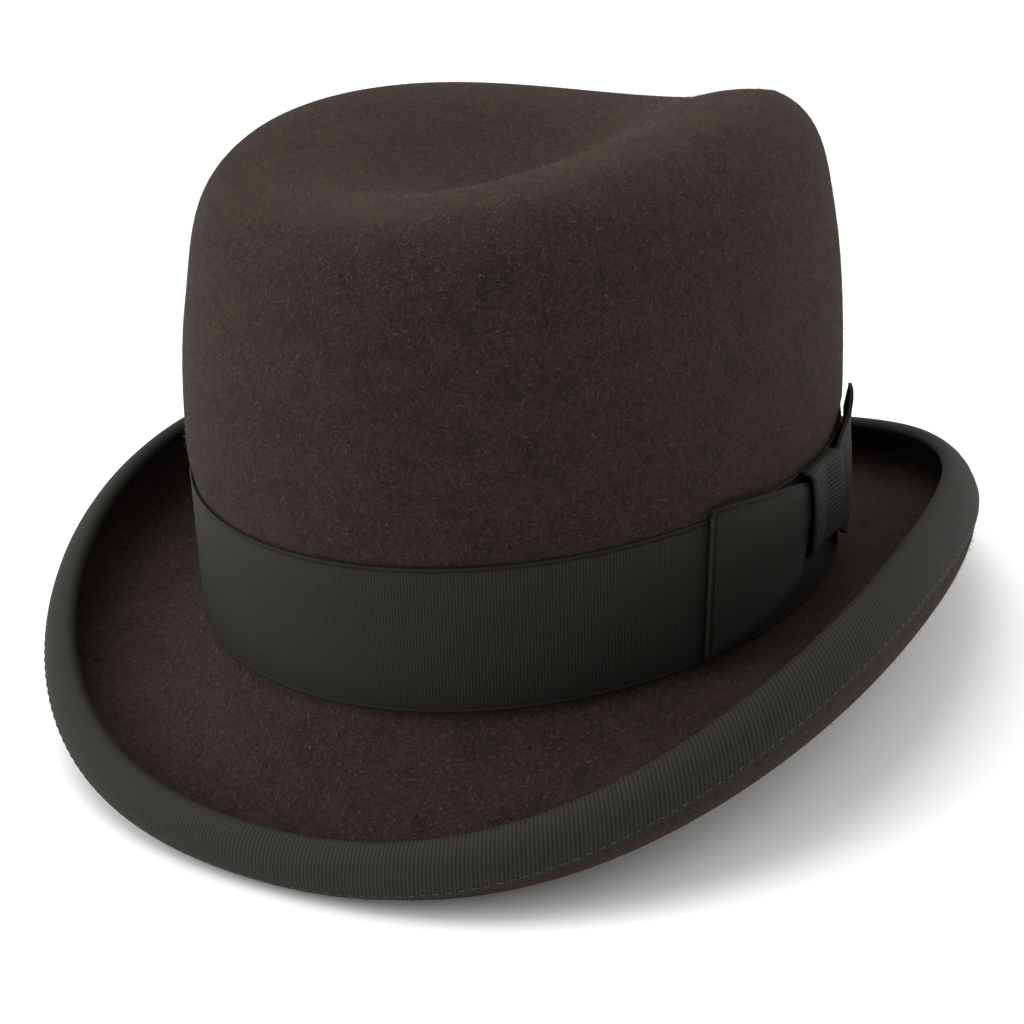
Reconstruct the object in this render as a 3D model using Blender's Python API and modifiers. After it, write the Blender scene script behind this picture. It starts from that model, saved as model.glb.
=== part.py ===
"""Homburg hat: a stiffened felt crown and brim in one piece, with a bound and curled brim edge,
a ribbon band tied off in a flat side bow, a leather sweatband and a satin lining.

The hat is drawn in its own frame first: Z up from the plane of the brim break, front of the hat
towards -Y, the wearer's left (the bow side) towards +X. A single empty then leans the whole hat
back until the front and the rear of the brim both stand on the ground. Lengths are millimetres
until a mesh is written."""
import math

import bpy
import numpy as np
from mathutils import Matrix, Vector

for leftover in list(bpy.data.objects):
    bpy.data.objects.remove(leftover, do_unlink=True)

MM = 0.001
AROUND = 60                     # sections round the head
PHI = np.linspace(0.0, 2.0 * math.pi, AROUND, endpoint=False)
GAP = 0.3                       # clearance between neighbouring pieces

# ---- the head oval and the crown ----
HEAD_LENGTH = 207.2             # outside of the felt at the band, front to back
HEAD_WIDTH = 177.6
FELT = 2.2
WALL_LEAN = 3.6                 # how far the wall comes in up to the foot of the shoulder
WALL_SWELL = 1.25               # how far the felt swells out over the top of the tight band
SWELL_RISE = 7.0                # the height over which it does so
CROWN_HEIGHT = 127.2            # mean height of the ridge round the dent
RIDGE_ASIDE = 3.6               # the ridge is this much higher on the bow side than the mean
REAR_HUMP = math.radians(120.0)     # where round the head the ridge is highest
SHOULDER_IN = 31.2
SHOULDER_ASIDE = 6.8            # the shoulder reaches further in by this on the bow side
SHOULDER_RISE = 35.0
SHOULDER_LOW_TENSION = 0.55
SHOULDER_TOP_TENSION = 0.88
CREASE_FRONT = 54.0             # ends of the dent's lowest line, from the middle of the hat
CREASE_REAR = 50.0
DENT_FRONT = 9.0                # depth of the crease under the mean height of the ridge
DENT_MIDDLE = 23.0
DENT_REAR = 7.0

# ---- the brim ----
SEAT_SADDLE = 1.4               # the head line dips this much front and back
BREAK_RADIUS = 4.0
EDGE_LENGTH = 284.0             # plan of the brim's turned-in edge
EDGE_WIDTH = 242.0
EDGE_SHIFT = -0.8
EDGE_POWER = 2.09
EDGE_THIRD = 0.007              # share by which the edge's plan is drawn in three times round
EDGE_FOURTH = 0.013             # and four times round, which squares the oval a little
EDGE_FLARE = 0.026              # share by which the edge flares out ahead of the bow
FLARE_AT = math.radians(70.0)
CURL_END = math.radians(154.0)  # how far round the roll the edge comes
CURL_MEAN = 12.5                # outside radius of the bound roll
BINDING = 0.5
BINDING_OUTSIDE = 13.5
BINDING_INSIDE = 10.0
BINDING_GAP = 0.45
PAD_DEPTH = 0.8                 # the roll is pressed flat this much where it stands

# ---- the band and the bow ----
BAND_WIDTH = 40.0
BAND_THICK = 0.6
BAND_GAP = 0.2
BOW_MIDDLE = 156.0              # measured along the band from the middle of the front
BOW_FRONT_REACH = 50.0
BOW_REAR_REACH = 46.0
BOW_THICK = 1.5
BOW_LIFT = 3.4                  # how far the folded wings puff out from the band
KNOT_WIDTH = 21.0
KNOT_LOW = 17.5
KNOT_HIGH = 39.5
KNOT_THICK = 0.7

# ---- inside the hat ----
LINING = 0.4
LINING_EASE = 0.8               # the side of the lining hangs this far inside the felt
TIP_DROP = 6.5                  # the tip of the lining hangs this far under the face of the crown
TIP_SEAM = 0.62                # how far up the shoulder the tip is sewn to the side
SEAM_ROOM = 0.05
LINING_FOOT = 14.0
LEATHER = 1.0
LEATHER_WIDTH = 38.0
REED_RADIUS = 0.9
PIPING_RADIUS = 0.9
THREAD_RADIUS = 0.25
THREAD_INSET = 1.2


def plan_oval(length, width, power=2.0, angles=PHI):
    """Points of an oval seen from above, starting at the front and going round by the left."""
    cosine, sine = np.cos(angles), np.sin(angles)
    x = width / 2.0 * np.sign(sine) * np.abs(sine) ** (2.0 / power)
    y = -length / 2.0 * np.sign(cosine) * np.abs(cosine) ** (2.0 / power)
    return np.stack([x, y], axis=1)


def ring(plan, height):
    return np.column_stack([plan, np.broadcast_to(height, len(plan))])


def seat_height(angles=PHI):
    """Height of the head line, where the band's lower edge lies."""
    return -SEAT_SADDLE * np.cos(2.0 * angles)


def ridge_height(angles=PHI):
    return (CROWN_HEIGHT - 1.2 * np.cos(angles) - 5.1 * np.cos(2.0 * angles)
            + 0.9 * np.cos(3.0 * angles) + RIDGE_ASIDE * np.sin(angles) + 1.2 * np.sin(2.0 * angles)
            + 2.4 * np.exp(-((angles - REAR_HUMP) / 0.4) ** 2))


def wall_inset(height, angles=PHI):
    """How far the wall stands in from the head oval: swelling over the band, then coming in."""
    top = ridge_height(angles) - SHOULDER_RISE
    over = np.clip((height - BAND_WIDTH - 1.0 - seat_height(angles)) / SWELL_RISE, 0.0, 1.0)
    swell = WALL_SWELL * over * over * (3.0 - 2.0 * over)
    return WALL_LEAN * (np.maximum(height, 0.0) / top) ** 5 - swell


def wall_ring(height, out=0.0, angles=PHI):
    """One ring of the crown wall at a height, moved out from the felt's face."""
    change = 2.0 * (out - wall_inset(height, angles))
    return ring(plan_oval(HEAD_LENGTH + change, HEAD_WIDTH + change, angles=angles), height)


def shoulder_ring(t):
    """A ring of the rounded shoulder: 0 at the top of the wall, 1 at the ridge round the dent."""
    top = ridge_height()
    low = top - SHOULDER_RISE
    start = WALL_LEAN - WALL_SWELL
    end = start + SHOULDER_IN + 0.9 * np.cos(2.0 * PHI) + SHOULDER_ASIDE * np.sin(PHI)
    handle = SHOULDER_LOW_TENSION * SHOULDER_RISE
    stations = ((start, low), (start + 5.0 * WALL_LEAN / low * handle, low + handle),
                (end + (start - end) * SHOULDER_TOP_TENSION, top), (end, top))
    weights = ((1 - t) ** 3, 3 * t * (1 - t) ** 2, 3 * t * t * (1 - t), t ** 3)
    inset = sum(w * s[0] for w, s in zip(weights, stations))
    height = sum(w * s[1] for w, s in zip(weights, stations))
    return ring(plan_oval(HEAD_LENGTH - 2.0 * inset, HEAD_WIDTH - 2.0 * inset), height)


def dent_rings(ridge, steps):
    """From the ridge down to the crease that runs front to back along the crown."""
    turn = np.minimum(PHI, 2.0 * math.pi - PHI) / math.pi
    y = -CREASE_FRONT + (CREASE_FRONT + CREASE_REAR) * turn
    ends = DENT_FRONT + (DENT_REAR - DENT_FRONT) * turn
    depth = ends + (DENT_MIDDLE - ends) * (1.0 - np.cos(2.0 * math.pi * turn)) / 2.0
    crease = np.column_stack([np.zeros(AROUND), y, CROWN_HEIGHT - depth])
    rings = []
    for q in np.linspace(0.0, 1.0, steps + 1)[1:]:
        fall = (1.0 - math.cos(math.pi * q)) / 2.0
        points = ridge * (1.0 - q) + crease * q
        points[:, 2] = ridge[:, 2] + (crease[:, 2] - ridge[:, 2]) * fall
        rings.append(points)
    return rings


def brim_sections():
    """For each section round the head: the head line point, the way out, the roll and the slope."""
    base = plan_oval(HEAD_LENGTH, HEAD_WIDTH)
    rim = plan_oval(EDGE_LENGTH, EDGE_WIDTH, EDGE_POWER) + np.array([0.0, EDGE_SHIFT])
    flare = EDGE_FLARE * np.exp(-((PHI - FLARE_AT) / 0.45) ** 2)
    rim *= (1.0 - EDGE_THIRD * np.cos(3.0 * PHI) - EDGE_FOURTH * np.cos(4.0 * PHI) + flare)[:, None]
    rim_height = (8.5 - 11.7 * np.cos(PHI) - 18.4 * np.cos(2.0 * PHI) + 0.5 * np.cos(4.0 * PHI)
                  + 1.1 * np.cos(5.0 * PHI))
    roll = CURL_MEAN - 1.0 * np.cos(PHI) - 3.0 * np.cos(2.0 * PHI)
    span = np.linalg.norm(rim - base, axis=1)
    way = (rim - base) / span[:, None]
    middle_out = span - roll * math.sin(CURL_END)
    middle_up = rim_height + roll * math.cos(CURL_END)
    upper = roll - BINDING - BINDING_GAP - FELT
    corner = seat_height() - BREAK_RADIUS
    for _ in range(4):
        toward = np.arctan2(middle_up - corner, middle_out)
        slope = toward - np.arcsin(upper / np.hypot(middle_out, middle_up - corner))
        back = BREAK_RADIUS * np.tan((math.pi / 2.0 + slope) / 2.0)
        corner = seat_height() - back - GAP
    return base, way, corner, back, slope, middle_out, middle_up, upper


BRIM = brim_sections()


def section_ring(out, up):
    base, way = BRIM[0], BRIM[1]
    return np.column_stack([base + way * np.broadcast_to(out, AROUND)[:, None],
                            np.broadcast_to(up, AROUND)])


def roll_ring(radius, angle):
    """A ring of the rolled edge: distance from the middle of the roll and angle up from below."""
    middle_out, middle_up = BRIM[5], BRIM[6]
    return section_ring(middle_out + radius * np.sin(angle), middle_up - radius * np.cos(angle))


def brim_rings(break_steps, flat_steps, roll_steps):
    """Upper face of the brim from the head line out to the edge."""
    _, _, corner, back, slope, middle_out, middle_up, upper = BRIM
    rings = []
    turn = math.pi / 2.0 + slope
    for t in np.linspace(0.0, 1.0, break_steps + 1):
        rings.append(section_ring(BREAK_RADIUS * (1.0 - np.cos(turn * t)),
                                  corner + back - BREAK_RADIUS * np.sin(turn * t)))
    start, end = rings[-1], roll_ring(upper, slope)
    for t in np.linspace(0.0, 1.0, flat_steps + 1)[1:-1]:
        rings.append(start + (end - start) * t)
    for t in np.linspace(0.0, 1.0, roll_steps + 1):
        rings.append(roll_ring(upper, slope + (CURL_END - slope) * t))
    return rings


def face_normals(rings):
    """Unit normals of a stack of rings, pointing up and out of the hat."""
    grid = np.array(rings)
    down = np.gradient(grid, axis=0)
    along = np.roll(grid, -1, axis=1) - np.roll(grid, 1, axis=1)
    normal = np.cross(down, along)
    return normal / np.maximum(np.linalg.norm(normal, axis=2), 1e-9)[:, :, None]


# ---- making objects ----
hat_parts = bpy.data.collections.new("homburg_hat")
bpy.context.scene.collection.children.link(hat_parts)
carrier = bpy.data.objects.new("hat_carrier", None)
hat_parts.objects.link(carrier)


def srgb(code):
    """A hex colour as linear values."""
    values = [int(code[i:i + 2], 16) / 255.0 for i in (0, 2, 4)]
    return [v / 12.92 if v <= 0.04045 else ((v + 0.055) / 1.055) ** 2.4 for v in values] + [1.0]


def material(name, colour, roughness):
    made = bpy.data.materials.new(name)
    made.use_nodes = True
    shader = made.node_tree.nodes["Principled BSDF"]
    shader.inputs["Base Color"].default_value = srgb(colour)
    shader.inputs["Roughness"].default_value = roughness
    made.diffuse_color = srgb(colour)
    return made


FELT_WOOL = material("brown_wool_felt", "3a3030", 0.95)
RIBBON = material("olive_grosgrain_ribbon", "33332d", 0.8)
THREAD = material("olive_sewing_thread", "2c2c27", 0.7)
SATIN = material("satin_lining", "4b3a33", 0.4)
HIDE = material("tan_sweatband_leather", "6b4429", 0.55)
REED = material("reed_cord", "8a7a5c", 0.6)


def place(name, mesh, surface):
    item = bpy.data.objects.new(name, mesh)
    hat_parts.objects.link(item)
    item.parent = carrier
    mesh.materials.append(surface)
    for face in mesh.polygons:
        face.use_smooth = True
    return item


def surface_mesh(name, rings, around=True, creased=False):
    """A sheet through a stack of rings. A creased sheet closes on its first ring, a straight line."""
    grid = np.array(rings)
    rows, columns = grid.shape[0], grid.shape[1]
    points = []
    index = np.zeros((rows, columns), dtype=int)
    for i in range(rows):
        for j in range(columns):
            if creased and i == 0 and j > columns // 2:
                index[i, j] = index[i, columns - j]
                continue
            index[i, j] = len(points)
            points.append(tuple(grid[i, j] * MM))
    faces = []
    for i in range(rows - 1):
        for j in range(columns if around else columns - 1):
            k = (j + 1) % columns
            faces.append((index[i, j], index[i + 1, j], index[i + 1, k], index[i, k]))
    mesh = bpy.data.meshes.new(name)
    mesh.from_pydata(points, [], [tuple(int(v) for v in face) for face in faces])
    mesh.update()
    return mesh


def shell(name, rings, thickness, surface, outward=False, around=True, creased=False):
    """A sheet given its thickness, on the inner side unless told outward."""
    item = place(name, surface_mesh(name, rings, around, creased), surface)
    thicken = item.modifiers.new("thickness", "SOLIDIFY")
    thicken.thickness = thickness * MM
    thicken.offset = 1.0 if outward else -1.0
    thicken.use_even_offset = True
    thicken.use_quality_normals = True
    return item


def cord(name, points, radius, surface, sides=2):
    """A closed loop of cord or thread through a ring of points."""
    path = bpy.data.curves.new(name, "CURVE")
    path.dimensions = "3D"
    line = path.splines.new("POLY")
    line.points.add(len(points) - 1)
    for node, point in zip(line.points, points):
        node.co = (*(point * MM), 1.0)
    line.use_cyclic_u = True
    path.bevel_depth = radius * MM
    path.bevel_resolution = 0 if sides == 2 else 1
    path.materials.append(surface)
    drawn = bpy.data.objects.new(name + "_path", path)
    mesh = bpy.data.meshes.new_from_object(drawn)
    mesh.name = name
    bpy.data.objects.remove(drawn)
    mesh.materials.clear()
    return place(name, mesh, surface)


# ---- how the hat stands: lean it back until front and rear both touch ----
def standing_matrix():
    """Lean, height and centring that put the underside of the brim on the ground."""
    outside = BRIM[7] + FELT
    rolls = np.concatenate([roll_ring(outside, angle) for angle in np.radians(range(-50, 60, 5))])
    bound = roll_ring(outside + BINDING_GAP + BINDING, math.pi / 2.0)
    lean = 0.0
    for _ in range(6):
        turn = np.array(Matrix.Rotation(lean, 3, "X"))
        stood = rolls @ turn.T
        front = stood[stood[:, 1] < 0.0]
        rear = stood[stood[:, 1] > 0.0]
        low_front = front[front[:, 2].argmin()]
        low_rear = rear[rear[:, 2].argmin()]
        lean += math.atan2(low_front[2] - low_rear[2], low_rear[1] - low_front[1])
    turn = np.array(Matrix.Rotation(lean, 3, "X"))
    stood = rolls @ turn.T
    wide = bound @ turn.T
    middle = (wide[:, 1].min() + wide[:, 1].max()) / 2.0
    rise = -(stood[:, 2].min() + PAD_DEPTH)
    return Matrix.Translation(Vector((0.0, -middle, rise)) * MM) @ Matrix.Rotation(lean, 4, "X")


STAND = standing_matrix()
carrier.matrix_world = STAND

# ---- the felt body: crown and brim blocked from one hood ----
shoulder = [shoulder_ring(t) for t in (1.0, 0.8, TIP_SEAM, 0.42, 0.2)]
dent = dent_rings(shoulder[0], 4)[::-1]
wall_low = brim_rings(1, 1, 1)[0][:, 2]
wall_top = ridge_height() - SHOULDER_RISE
band_top = BAND_WIDTH + 1.0 + seat_height()
wall = [wall_ring(height) for height in (wall_top, (wall_top + band_top + SWELL_RISE) / 2.0,
                                         band_top + SWELL_RISE, band_top, wall_low + 4.0)]
felt_rings = dent + shoulder + wall + brim_rings(2, 2, 9)
felt_body = shell("felt_body", felt_rings, FELT, FELT_WOOL, creased=True)


def press_flat(item):
    """The rolled brim is pressed flat where it stands on the ground."""
    bpy.context.view_layer.update()
    seen = item.evaluated_get(bpy.context.evaluated_depsgraph_get())
    mesh = bpy.data.meshes.new_from_object(seen)
    item.modifiers.clear()
    item.data = mesh
    back = STAND.inverted()
    for vertex in mesh.vertices:
        stood = STAND @ vertex.co
        if stood.z < 0.0:
            stood.z = 0.0
            vertex.co = back @ stood


press_flat(felt_body)

# ---- the binding: a folded ribbon over the brim's edge, sewn through ----
upper = BRIM[7]
under = upper + FELT
clear = BINDING_GAP
cap_middle = (upper + under) / 2.0
cap_radius = FELT / 2.0 + clear


def cap_ring(angle):
    """The fold of the binding round the cut edge of the felt."""
    shift = cap_radius * math.sin(angle)
    radius = cap_middle + cap_radius * math.cos(angle)
    return roll_ring(radius, CURL_END) + (roll_ring(radius, CURL_END + 1e-3)
                                          - roll_ring(radius, CURL_END)) / (radius * 1e-3)[:, None] * shift


outer_reach = BINDING_OUTSIDE / under
inner_reach = BINDING_INSIDE / upper
binding_rings = [roll_ring(under + clear, CURL_END - outer_reach * t) for t in np.linspace(1.0, 0.0, 6)]
binding_rings += [cap_ring(angle) for angle in np.radians((45.0, 90.0, 135.0))]
binding_rings += [roll_ring(upper - clear, CURL_END - inner_reach * t) for t in np.linspace(0.0, 1.0, 6)]
shell("brim_binding", binding_rings, BINDING, RIBBON, outward=False)

outer_seam = CURL_END - outer_reach * (1.0 - THREAD_INSET / BINDING_OUTSIDE)
thread_clear = clear + BINDING + THREAD_RADIUS + GAP
cord("binding_thread_outer", roll_ring(under + thread_clear, outer_seam), THREAD_RADIUS, THREAD)
inner_seam = CURL_END - inner_reach * (1.0 - THREAD_INSET / BINDING_INSIDE)
cord("binding_thread_inner", roll_ring(upper - thread_clear, inner_seam), THREAD_RADIUS, THREAD)

# ---- the band round the foot of the crown ----
band_face = BAND_GAP + BAND_THICK
band_low = seat_height()
band_rings = [wall_ring(band_low + BAND_WIDTH * t, BAND_GAP) for t in (1.0, 0.5, 0.0)]
shell("hat_band", band_rings, BAND_THICK, RIBBON, outward=True)


# ---- the flat bow on the wearer's left ----
def along_band():
    """Angles round the head against distance along the band, from the middle of the front."""
    fine = np.linspace(0.0, math.pi, 721)
    plan = plan_oval(HEAD_LENGTH + 2.0 * band_face, HEAD_WIDTH + 2.0 * band_face, angles=fine)
    steps = np.linalg.norm(np.diff(plan, axis=0), axis=1)
    return np.concatenate([[0.0], np.cumsum(steps)]), fine


BAND_DISTANCE, BAND_ANGLE = along_band()


def on_band(distance, height, out):
    """A point over the band: distance along it, height above its lower edge, lift from its face."""
    angle = np.interp(distance, BAND_DISTANCE, BAND_ANGLE)
    angles = np.array([angle])
    level = height + seat_height(angles)
    return wall_ring(level, band_face + out, angles)[0]


half_knot = KNOT_WIDTH / 2.0
knot_room = GAP + KNOT_THICK + GAP
bow_columns = (-BOW_FRONT_REACH, -40.0, -28.0, -18.0, -half_knot - 1.0, 0.0, half_knot + 1.0,
               20.0, 32.0, BOW_REAR_REACH)


def bow_edges(u):
    """Lower and upper edge of the folded bow ribbon, gathered in under the knot."""
    reach = BOW_FRONT_REACH if u < 0 else BOW_REAR_REACH
    open_out = max(0.0, min(1.0, (abs(u) - half_knot) / (reach - half_knot)))
    spread = open_out ** 0.7
    low = (KNOT_LOW + 1.5) * (1.0 - spread) + 1.0 * spread
    top_end = 43.0 if u < 0 else 48.0
    high = (KNOT_HIGH - 1.5) + (top_end - KNOT_HIGH + 1.5) * min(1.0, spread * 1.15)
    return low, high


def bow_lift(u, v):
    """Lift of the bow's inner face from the band: on the band at the ends, proud at the knot."""
    reach = BOW_FRONT_REACH if u < 0 else BOW_REAR_REACH
    near = max(0.0, 1.0 - abs(u) / reach)
    puff = BOW_LIFT * math.sin(math.pi * min(1.0, max(0.0, near))) * (0.35 + 0.65 * math.sin(math.pi * v))
    return GAP + 0.6 * puff + (knot_room - GAP) * min(1.0, near / 0.8)


def bow_point(u, v, extra=0.0):
    low, high = bow_edges(u)
    return on_band(BOW_MIDDLE + u, low + (high - low) * v, bow_lift(u, v) + extra)


bow_rings = [np.array([bow_point(u, v) for u in bow_columns]) for v in (1.0, 0.8, 0.5, 0.2, 0.0)]
shell("bow_ribbon", bow_rings, BOW_THICK, RIBBON, outward=True, around=False)


def knot_loop(u):
    """The knot ribbon's path round the gathered bow, as seen from the end."""
    front = 0.0
    back = 0.0
    for v in (0.0, 0.25, 0.5, 0.75, 1.0):
        lift = bow_lift(u, v)
        front = max(front, lift + BOW_THICK + GAP)
    back = GAP + KNOT_THICK
    low = KNOT_LOW - 0.4
    high = KNOT_HIGH + 0.4
    soft = 1.0
    path = ((low, back + soft), (low, front - soft), (low + soft, front), ((low + high) / 2.0, front + 0.5),
            (high - soft, front), (high, front - soft), (high, back + soft), (high - soft, back),
            (low + soft, back))
    return np.array([on_band(BOW_MIDDLE + u, height, out) for height, out in path])


knot_rings = [knot_loop(u) for u in (-half_knot, -half_knot / 2.0, 0.0, half_knot / 2.0, half_knot)]
shell("bow_knot", knot_rings, KNOT_THICK, RIBBON, outward=True)

# ---- inside: lining, sweatband and its reed ----
lining_depth = FELT + LINING_EASE
tip_edge = [shoulder_ring(t) for t in (1.0, (1.0 + TIP_SEAM) / 2.0, TIP_SEAM + SEAM_ROOM)]
tip_ways = face_normals(tip_edge)
tip_rings = [points - (0.0, 0.0, TIP_DROP) for points in dent + tip_edge[:1]]
tip_rings += [tip_edge[1] - tip_ways[1] * (lining_depth + TIP_DROP) / 2.0]
tip_rings += [tip_edge[2] - tip_ways[2] * lining_depth]
side_rings = [shoulder_ring(t) for t in (TIP_SEAM - SEAM_ROOM, 0.4, 0.2)] + wall[:4]
side_rings.append(wall_ring(np.full(AROUND, LINING_FOOT)))
side_rings = list(np.array(side_rings) - face_normals(side_rings) * lining_depth)
shell("lining_tip", tip_rings, LINING, SATIN, creased=True)
shell("lining_wall", side_rings, LINING, SATIN)
seam_rings = [shoulder_ring(TIP_SEAM + t) for t in (SEAM_ROOM, 0.0, -SEAM_ROOM)]
piping_depth = lining_depth + PIPING_RADIUS
cord("lining_piping", seam_rings[1] - face_normals(seam_rings)[1] * piping_depth, PIPING_RADIUS, SATIN,
     sides=3)

leather_out = -(lining_depth + LINING + GAP)
leather_low = seat_height() + 1.0
leather_rings = [wall_ring(leather_low + LEATHER_WIDTH * t, leather_out) for t in (1.0, 0.5, 0.0)]
shell("sweatband", leather_rings, LEATHER, HIDE)
reed_height = leather_low - REED_RADIUS - GAP
cord("sweatband_reed", wall_ring(reed_height, leather_out - REED_RADIUS), REED_RADIUS, REED, sides=3)
cord("sweatband_thread", wall_ring(leather_low + 2.5, leather_out - LEATHER - GAP - THREAD_RADIUS),
     THREAD_RADIUS, THREAD)
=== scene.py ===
import math

import bmesh
import bpy
import numpy as np
from mathutils import Matrix, Vector


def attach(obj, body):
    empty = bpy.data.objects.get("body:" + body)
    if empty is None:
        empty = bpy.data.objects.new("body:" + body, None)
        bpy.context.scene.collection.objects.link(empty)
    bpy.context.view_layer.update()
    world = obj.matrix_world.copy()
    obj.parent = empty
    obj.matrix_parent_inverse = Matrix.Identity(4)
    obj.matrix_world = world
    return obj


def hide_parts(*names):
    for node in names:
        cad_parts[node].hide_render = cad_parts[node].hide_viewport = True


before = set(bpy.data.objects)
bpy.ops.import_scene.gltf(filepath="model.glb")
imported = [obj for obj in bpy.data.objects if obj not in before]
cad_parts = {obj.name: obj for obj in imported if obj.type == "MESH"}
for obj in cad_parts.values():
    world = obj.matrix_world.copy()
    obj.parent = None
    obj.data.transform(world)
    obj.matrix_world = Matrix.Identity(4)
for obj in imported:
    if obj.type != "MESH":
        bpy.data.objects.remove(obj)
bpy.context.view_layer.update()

# ---------------------------------------------------------------------------------------------
# The felt body. Crown and brim are one hood of wool felt, steamed over a block: the crown is
# pressed in along its middle, and the brim is ironed down and rolled up all round. Its surface
# is brushed, so short fibres stand off it and catch light at a grazing angle.
# ---------------------------------------------------------------------------------------------
MM = 0.001
HEAD_LENGTH, HEAD_WIDTH, FELT = 207.2, 177.6, 2.2
WALL_LEAN, WALL_SWELL, SWELL_RISE = 3.6, 1.25, 7.0
CROWN_HEIGHT, RIDGE_ASIDE, REAR_HUMP = 127.2, 3.6, math.radians(120.0)
SHOULDER_IN, SHOULDER_ASIDE, SHOULDER_RISE = 31.2, 6.8, 35.0
SHOULDER_LOW_TENSION, SHOULDER_TOP_TENSION = 0.55, 0.88
CREASE_FRONT, CREASE_REAR = 54.0, 50.0
DENT_FRONT, DENT_MIDDLE, DENT_REAR = 9.0, 23.0, 7.0
BAND_WIDTH = 40.0
SEAT_SADDLE, BREAK_RADIUS, GAP = 1.4, 4.0, 0.3
EDGE_LENGTH, EDGE_WIDTH, EDGE_SHIFT, EDGE_POWER = 284.0, 242.0, -0.8, 2.09
EDGE_THIRD, EDGE_FOURTH, EDGE_FLARE, FLARE_AT = 0.007, 0.013, 0.026, math.radians(70.0)
CURL_END, CURL_MEAN = math.radians(154.0), 12.5
BINDING, BINDING_GAP, PAD_DEPTH = 0.5, 0.45, 0.8


def turns(count):
    """Even angles round the head, from the middle of the front by the wearer's left."""
    return np.linspace(0.0, 2.0 * math.pi, count, endpoint=False)


def plan_oval(length, width, angles, power=2.0):
    cosine, sine = np.cos(angles), np.sin(angles)
    x = width / 2.0 * np.sign(sine) * np.abs(sine) ** (2.0 / power)
    y = -length / 2.0 * np.sign(cosine) * np.abs(cosine) ** (2.0 / power)
    return np.stack([x, y], axis=-1)


def ring(plan, height):
    return np.concatenate([plan, np.broadcast_to(height, plan.shape[:-1])[..., None]], axis=-1)


def seat_height(angles):
    return -SEAT_SADDLE * np.cos(2.0 * angles)


def ridge_height(angles):
    return (CROWN_HEIGHT - 1.2 * np.cos(angles) - 5.1 * np.cos(2.0 * angles)
            + 0.9 * np.cos(3.0 * angles) + RIDGE_ASIDE * np.sin(angles) + 1.2 * np.sin(2.0 * angles)
            + 2.4 * np.exp(-((angles - REAR_HUMP) / 0.4) ** 2))


def wall_ring(height, out, angles):
    """A ring of the crown's wall at a height, moved out from the face of the felt. The felt swells
    out over the top of the tight band, then comes in towards the shoulder."""
    top = ridge_height(angles) - SHOULDER_RISE
    over = np.clip((height - BAND_WIDTH - 1.0 - seat_height(angles)) / SWELL_RISE, 0.0, 1.0)
    inset = WALL_LEAN * (np.maximum(height, 0.0) / top) ** 5 - WALL_SWELL * over * over * (3 - 2 * over)
    change = 2.0 * (out - inset)
    return ring(plan_oval(HEAD_LENGTH + change, HEAD_WIDTH + change, angles), height)


def shoulder_ring(t, angles):
    """A ring of the rounded shoulder: 0 at the top of the wall, 1 at the ridge round the dent."""
    top = ridge_height(angles)
    low = top - SHOULDER_RISE
    start = WALL_LEAN - WALL_SWELL
    end = start + SHOULDER_IN + 0.9 * np.cos(2.0 * angles) + SHOULDER_ASIDE * np.sin(angles)
    handle = SHOULDER_LOW_TENSION * SHOULDER_RISE
    stations = ((start, low), (start + 5.0 * WALL_LEAN / low * handle, low + handle),
                (end + (start - end) * SHOULDER_TOP_TENSION, top), (end, top))
    weights = ((1 - t) ** 3, 3 * t * (1 - t) ** 2, 3 * t * t * (1 - t), t ** 3)
    inset = sum(w * s[0] for w, s in zip(weights, stations))
    height = sum(w * s[1] for w, s in zip(weights, stations))
    return ring(plan_oval(HEAD_LENGTH - 2.0 * inset, HEAD_WIDTH - 2.0 * inset, angles), height)


def dent_ring(q, angles):
    """A ring of the dent: 0 at the ridge, 1 at the crease that runs front to back."""
    ridge = shoulder_ring(1.0, angles)
    turn = np.minimum(angles, 2.0 * math.pi - angles) / math.pi
    y = -CREASE_FRONT + (CREASE_FRONT + CREASE_REAR) * turn
    ends = DENT_FRONT + (DENT_REAR - DENT_FRONT) * turn
    depth = ends + (DENT_MIDDLE - ends) * (1.0 - np.cos(2.0 * math.pi * turn)) / 2.0
    fall = (1.0 - math.cos(math.pi * q)) / 2.0
    points = ridge * (1.0 - q) + np.column_stack([np.zeros(len(y)), y, y]) * q
    points[:, 2] = ridge[:, 2] + (CROWN_HEIGHT - depth - ridge[:, 2]) * fall
    return points


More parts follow.
